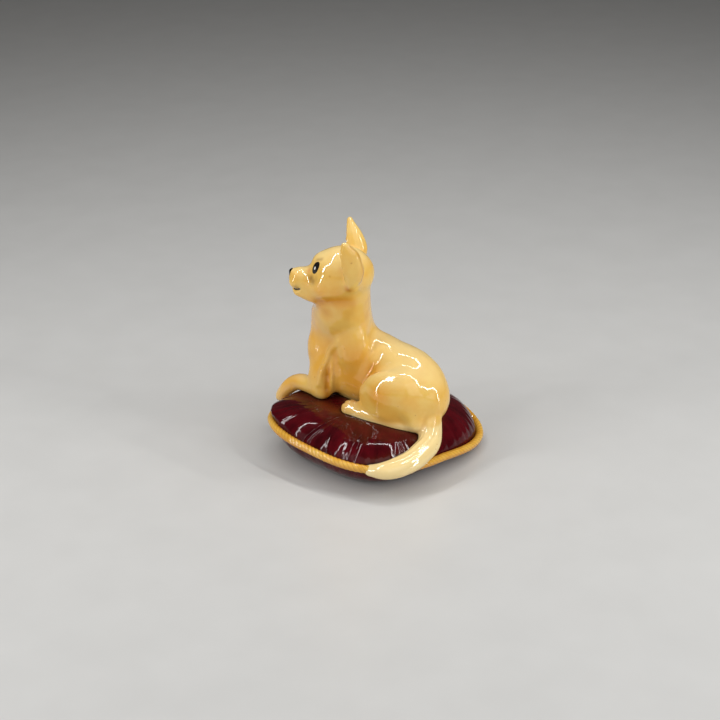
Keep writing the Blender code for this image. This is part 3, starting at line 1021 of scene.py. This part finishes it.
def cord_glaze(group):
    """Ochre with painted light on the cord's crown, and darker between its strands, where glaze pools and painted
    shade lies.
    """
    material, tree, base, fired = glazed("ochre glaze", group, 0.00005)
    colour = mixed(tree, ranged(tree, fired["Cloud"], 0.35, 0.65, 0.0, 0.4), OCHRE, STRAW)
    # Painted light on the cord's crown, patchy with the glaze's cloud.
    crown_cloud = ranged(tree, fired["Cloud"], 0.3, 0.6, 0.5, 1.0)
    lit_crown = reckon(tree, "MULTIPLY", value_of(tree, "crown"), crown_cloud)
    colour = mixed(tree, lit_crown, colour, STRAW)
    # Darker between the strands: pooled glaze and painted shade.
    colour = mixed(tree, ranged(tree, value_of(tree, "groove"), 0.4, 1.0, 0.0, 0.5), colour, OCHRE_DARK)
    link(tree, colour, base)
    return material


# Sprayed amber on the dog, partly painted shade on the throat, chest, belly and low places: place in the dog's
# frame, spread, strength.
AMBER_SPRAY_AND_SHADE = (
    ((13.6, -5.4, 30.3), 3.2, 0.5), ((12.0, -0.7, 31.2), 3.0, 0.35), ((4.5, 4.0, 27.0), 4.0, 0.35),
    ((4.0, -14.0, 15.0), 9.5, 0.8), ((8.5, 0.0, 15.5), 5.5, 0.75), ((9.0, -1.0, 8.0), 6.5, 0.9),
    ((8.5, -9.0, 10.0), 6.0, 0.7), ((8.0, -6.5, 25.0), 6.0, 0.3), ((6.0, -17.0, 27.0), 7.0, 1.0),
    ((8.0, -13.5, 32.0), 4.0, 0.9), ((10.0, -23.0, -1.0), 6.5, 0.75), ((9.5, 14.0, 1.0), 4.5, 0.45),
    ((11.8, 12.0, 8.5), 3.6, 0.95), ((10.0, 20.0, 8.0), 3.5, 0.2),
)
# Colour breathed on both sides of the head, with painted shade under the jaw and at the ear's root: place in the
# head's frame, spread, strength.
HEAD_PUFFS = {
    "amber_and_shade": (
        ((6.5, 6.5, -3.5), 3.0, 0.65), ((2.0, 8.0, -3.5), 3.0, 0.6), ((-1.5, 8.2, -1.2), 1.3, 1.0),
        ((10.5, 3.3, -1.0), 1.8, 0.4), ((14.5, 2.5, -0.5), 2.0, 0.4), ((12.5, 0.0, -7.5), 2.5, 0.5),
    ),
    # Painted shade under the jaw and at the ear's root.
    "brown_and_shade": (
        ((7.1, 3.9, -7.2), 1.7, 0.45), ((4.4, 5.8, -6.6), 1.4, 0.25), ((6.6, 4.0, -11.0), 1.7, 0.5),
        ((-1.5, 8.4, -1.4), 1.2, 0.5),
    ),
    "smudge": (
        ((9.4, 4.1, -0.1), 1.1, 0.65), ((8.9, 4.8, -0.6), 1.1, 0.55), ((10.2, 3.5, 0.3), 0.8, 0.3),
        ((7.9, 5.4, 0.3), 0.9, 0.25), ((14.1, 2.8, -3.4), 0.75, 0.5),
    ),
    "rose": (((10.4, 2.6, 1.7), 0.7, 0.55),),
}
# Painted shade along the folds of both flanks, in amber and brown: the field, the path, whether it is laid on the
# skin, half width, strength.
FOLD_SHADE = (
    ("amber_and_shade", ARM_POCKET, True, 1.4, 1.0),
    ("brown_and_shade", ARM_POCKET, True, 0.75, 0.4),
    ("amber_and_shade", ARM_CREASE, False, 2.6, 0.6),
    ("amber_and_shade", HAUNCH_CREASE, False, 2.2, 0.9),
    ("brown_and_shade", HAUNCH_CREASE, False, 0.9, 0.3),
)
# Painted shade along the fold under the jaw: the field, half width, strength.
JAW_SHADE = (("amber_and_shade", 2.6, 0.9), ("brown_and_shade", 1.4, 0.25))
BROW_LINE = ((7.9, 3.1, 5.4), (7.3, 3.4, 5.7), (6.7, 3.6, 5.8))
BROW_PAINT = (0.6, 0.4)
FRECKLES = (((3.8, 7.3, 2.0), 0.30, 0.6), ((-2.8, 11.2, 7.9), 0.24, 0.8))
# A painted shade line along each ear's back edge, where it stands off the head: how far round the ear it lies,
# then its half width and strength.
RIM_TURN = 0.3
EAR_RIM_SHADE = (0.4, 0.5)

# The eye's glint: how far it lies below the middle, half sizes and mean half size. Then the mouth line's half
# width, and how far out the black of the nose tip lies and reaches.
GLINT_DOWN = 0.15
GLINT_SIZE = (0.50, 0.32)
GLINT_EDGE = 0.4
MOUTH_LINE = 0.30
NOSE_TIP = (0.55, 1.25)

# Painted shade in the hollows: rounds of evening, gain, then how much it adds to the amber and to the brown.
HOLLOW_ROUNDS = 12
HOLLOW_GAIN = 30
HOLLOW_SHADE_AMBER = 0.35
HOLLOW_SHADE_BROWN = 0.08

# Paler colour: painted light on the tops that face up; paler too are the hem that lies on the cushion and the
# tail's end.
LIT_TOPS = (0.35, 0.9, 0.6)
PALE_TAIL_FROM = 5
PALE_TAIL = 4.5


def paint_dog(dog):
    """The sprayed and brushed colours, with painted shade and painted light, as fields over the dog's skin: how
    much of each lies at each place.
    """
    world, edges = arrays(dog)
    parts = in_parts(world)
    normals = normals_of(dog)
    tree = skin_tree(dog)
    fields = {name: np.zeros(len(parts)) for name in ("amber_and_shade", "brown_and_shade", "smudge", "rose")}

    def puff(name, path, size, strength):
        gap, _ = away(parts, path, size * REACH)
        fields[name] = np.maximum(fields[name], strength * soft(gap, size))

    def stroke(name, path, size, strength):
        puff(name, smooth_row(path, PATH_STEPS), size, strength)

    # Sprayed amber, partly painted shade.
    for place, size, strength in AMBER_SPRAY_AND_SHADE:
        for one in both(place, FLANK):
            puff("amber_and_shade", one, size, strength)
    # Colour on the head, with painted shade under the jaw and at the ear's root.
    for name, puffs in HEAD_PUFFS.items():
        for place, size, strength in puffs:
            for one in both(place, SIDE):
                puff(name, on_head(one), size, strength)
    # Painted shade along the folds and under the jaw.
    for name, path, on, width, strength in FOLD_SHADE:
        for one in both(path, FLANK):
            stroke(name, on_skin(tree, one) if on else one, width, strength)
    for name, width, strength in JAW_SHADE:
        for path in both(JAW_CREASE, SIDE):
            stroke(name, on_head(path), width, strength)
    for path in both(BROW_LINE, SIDE):
        stroke("smudge", on_skin(tree, on_head(path)), *BROW_PAINT)
    hollow = hollows(world, edges, normals)
    # Painted shade: the hollows are darkened with amber and brown.
    fields["amber_and_shade"] = np.clip(fields["amber_and_shade"] + HOLLOW_SHADE_AMBER * hollow, 0, 1)
    fields["brown_and_shade"] = np.clip(fields["brown_and_shade"] + HOLLOW_SHADE_BROWN * hollow**2, 0, 1)
    # Painted shade along each ear's back edge.
    for side in (1, -1):
        rim = [ear_place(row, EAR_SET_BACK * side, RIM_TURN) for row in smooth_row(EAR[3:-2], 4)]
        puff("brown_and_shade", on_head(np.multiply(rim, (1, side, 1))), *EAR_RIM_SHADE)
    for place, size, strength in FRECKLES:
        puff("brown_and_shade", on_head(place), size, strength)
    # Paler colour, with painted light on the tops.
    fields["pale"] = pale_and_lit_tops(parts, normals)
    fields["black"], fields["glint"] = brush_marks(parts, tree)
    for name, values in fields.items():
        mark(dog, name, values)


def hollows(world, edges, normals):
    """How hollow the skin is at each place, from 0 to 1, for the painted shade in the hollows."""
    count = np.bincount(edges.ravel(), minlength=len(world))
    hollow = ((means(world, edges, count) - world) * normals).sum(1)[:, None] / FINE_STEP
    for _ in range(HOLLOW_ROUNDS):
        hollow = means(hollow, edges, count)
    return np.clip(hollow[:, 0] * HOLLOW_GAIN, 0, 1)


def pale_and_lit_tops(parts, normals):
    """Where the colour is paler: painted light on the tops that face up, and the paw ends, the hem and the tail's
    end.
    """
    low, gain, most = LIT_TOPS
    # Painted light: the more a place faces up, the paler it is.
    pale = np.clip((normals[:, 2] - low) * gain, 0, most)
    _, back, up = parts.T
    paws = 0.5 * soft(np.clip(-up - 1.0, -9, 0), 2.0)
    hem = 0.75 * soft(np.clip(up + 0.2, 0, 9), 0.8) * np.clip(back / 3, 0, 1)
    tail_end, _ = away(parts, np.array(TAIL)[PALE_TAIL_FROM:, :3], PALE_TAIL * 2)
    return np.max([pale, paws, hem, soft(tail_end, PALE_TAIL)], 0)


def brush_marks(parts, tree):
    """Distances to the edges of the black marks, and of the white glints on the eyes: below zero lies inside."""
    black = np.full(len(parts), 9.0)
    glint = np.full(len(parts), 9.0)

    def inside(tall, wide, sizes, edge):
        return (np.sqrt((tall / sizes[0]) ** 2 + (wide / sizes[1]) ** 2) - 1) * edge

    for side in (1, -1):
        d = parts - on_skin(tree, on_head(np.multiply(EYE, (1, side, 1))))[0]
        long, level, _ = eye_axes(side)
        tall, wide = d @ long, d @ level
        near = np.linalg.norm(d, axis=1) < 4
        black = np.where(near, np.minimum(black, inside(tall, wide, EYE_SIZE, EYE_SIZE[1])), black)
        spot = inside(tall + GLINT_DOWN, wide, GLINT_SIZE, GLINT_EDGE)
        glint = np.where(near, np.minimum(glint, spot), glint)
        mouth = smooth_row(on_skin(tree, on_head(np.multiply(MOUTH, (1, side, 1)))), PATH_STEPS)
        black = np.minimum(black, away(parts, mouth, 2)[0] - MOUTH_LINE)
    nose = on_head((NOSE[0] + NOSE_TIP[0], 0, NOSE[2]))[0]
    return np.minimum(black, np.linalg.norm(parts - nose, axis=1) - NOSE_TIP[1]), glint


# Amber that settled on the cushion: strength and reach of the mist round the dog, in metres, and of a pool by each
# foreleg, in the dog's parts. Then the width of the painted shadow where they meet.
MIST = (0.38, 0.0013)
POOL_PATH = ((13.0, -9.0, -0.1), (13.9, -1.8, -0.1))
POOL = (0.6, 2.1)
CONTACT_SHADOW = 0.0007


def paint_cushion(cushion, dog):
    """The amber mist that went past the dog, and the painted shadow where it meets the cushion."""
    world, _ = arrays(cushion)
    gap = gap_to(dog, world, 0.009)
    mist = MIST[0] * np.exp(-((gap / MIST[1]) ** 1.5))
    pool = np.min([away(in_parts(world), path, 12)[0] for path in both(POOL_PATH, FLANK)], 0)
    mark(cushion, "overspray", np.maximum(mist, POOL[0] * soft(pool, POOL[1])))
    # Painted shadow close to the dog.
    mark(cushion, "contact_shadow", soft(gap, CONTACT_SHADOW))


# The studio.
FLOOR_HALF = 3.0
FLOOR_ROUGHNESS = 0.35
FLOOR_GRAIN = 60
FLOOR_TONES = ((0.56, 0.555, 0.54), (0.61, 0.605, 0.59))
CAMERA_AZIMUTH = math.radians(132)
CAMERA_ELEVATION = math.radians(25)
CAMERA_LOOK = Vector((0, -DOG_SHIFT_FORWARD, 0.030))
CAMERA_DISTANCE = 0.5
CAMERA_LENS = 85.5
CAMERA_SHIFT = (-13 / 720, -9 / 720)
LIT_MIDDLE = Vector((0, 0, 0.03))
# Each lamp's two ends as (azimuth from the camera's, elevation), then its distance, width and radiance.
LAMPS = (
    ("left front panel", (-34, 2), (-34, 52), 0.70, 0.62, 0.52),
    ("right front panel", (28, 2), (28, 52), 0.70, 0.60, 1.12),
    ("left strip", (-66, -4), (-66, 50), 0.42, 0.012, 40.0),
    ("right strip", (64, -2), (70, 44), 0.42, 0.012, 46.0),
    ("left arch", (-66, 48), (-130, 67), 0.45, 0.012, 42.0),
    ("top arch", (-132, 66), (125, 64), 0.45, 0.012, 44.0),
    ("right arch", (123, 64), (72, 43), 0.45, 0.012, 46.0),
)
ROOM_COLOUR = (1.0, 0.98, 0.95, 1)
ROOM_LIGHT = 0.07


def floor():
    mesh = bpy.data.meshes.new("floor")
    size = FLOOR_HALF
    mesh.from_pydata([(-size, -size, 0), (size, -size, 0), (size, size, 0), (-size, size, 0)], [], [(0, 1, 2, 3)])
    material, tree, shader = new_material("pale floor")
    shader["Roughness"].default_value = FLOOR_ROUGHNESS
    grain = noise(tree, node(tree, "ShaderNodeTexCoord").outputs["Object"], FLOOR_GRAIN, 2)
    link(tree, mixed(tree, grain, *FLOOR_TONES), shader["Base Color"])
    mesh.materials.append(material)
    placed("floor", mesh)


def direction(azimuth, elevation):
    """A way out from the figure, in radians; azimuth is counted from the camera's, to its right."""
    a, e = CAMERA_AZIMUTH + azimuth, elevation
    return Vector((math.sin(a) * math.cos(e), -math.cos(a) * math.cos(e), math.sin(e)))


def camera():
    data = bpy.data.cameras.new("camera")
    data.lens = CAMERA_LENS
    data.sensor_width = 36
    data.shift_x, data.shift_y = CAMERA_SHIFT
    data.clip_start = 0.01
    data.clip_end = 20
    made = placed("camera", data)
    toward = direction(0, CAMERA_ELEVATION)
    made.location = CAMERA_LOOK + toward * CAMERA_DISTANCE
    made.rotation_euler = (-toward).to_track_quat("-Z", "Y").to_euler()
    bpy.context.scene.camera = made


def lamp(name, start, end, distance, width, radiance):
    """A panel that faces the figure, its long side from one direction to another."""
    a, b = [LIT_MIDDLE + direction(*map(math.radians, way)) * distance for way in (start, end)]
    data = bpy.data.lights.new(name, "AREA")
    data.shape = "RECTANGLE"
    data.size = width
    data.size_y = (b - a).length
    data.energy = radiance * math.pi * data.size * data.size_y
    made = placed(name, data)
    made.location = (a + b) / 2
    long = (b - a).normalized()
    back = (made.location - LIT_MIDDLE).normalized()
    back = (back - long * back.dot(long)).normalized()
    made.rotation_euler = Matrix((long.cross(back), long, back)).transposed().to_euler()
    made.visible_camera = False


def studio():
    floor()
    camera()
    for one in LAMPS:
        lamp(*one)
    world = bpy.data.worlds.new("studio")
    world.use_nodes = True
    room = world.node_tree.nodes["Background"]
    room.inputs["Color"].default_value = ROOM_COLOUR
    room.inputs["Strength"].default_value = ROOM_LIGHT
    bpy.context.scene.world = world
    bpy.context.scene.view_settings.view_transform = "Standard"


def build():
    dog = build_dog()
    cushion = build_cushion()
    cord = build_cord()
    group = glaze_group()
    paint_dog(dog)
    paint_cushion(cushion, dog)
    for piece, glaze in ((dog, dog_glaze), (cushion, cushion_glaze), (cord, cord_glaze)):
        piece.data.materials.clear()
        piece.data.materials.append(glaze(group))
        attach(piece, "root")
        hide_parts(NODE)
    studio()


build()
